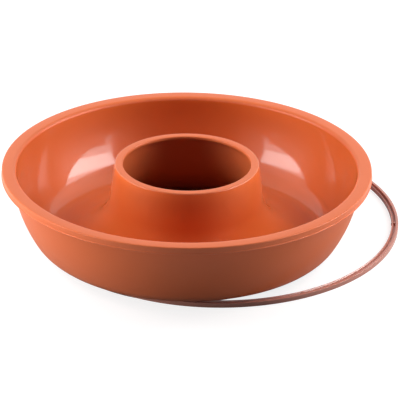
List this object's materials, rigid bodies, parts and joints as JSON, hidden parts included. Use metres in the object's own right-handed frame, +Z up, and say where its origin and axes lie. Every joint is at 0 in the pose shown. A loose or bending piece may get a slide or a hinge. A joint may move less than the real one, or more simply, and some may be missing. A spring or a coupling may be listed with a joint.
{
  "type": "savarin mould",
  "caption": "Soft silicone ring mould with an open centre tube and a grooved rim, leaning on its loose plastic support ring.",
  "frame": {"origin": "on the table, under the centre of the mould's base", "axes": "+Z up from the table, +Y towards the back, away from the viewer, +X to the viewer's right"},
  "size_m": [0.2818, 0.2854, 0.0619],
  "materials": {
    "silicone": "glossy inside, matt outside",
    "ring_plastic": "satin"
  },
  "bodies": {
    "root": {"mould": "silicone", "support_ring": "ring_plastic"}
  },
  "joints": []
}
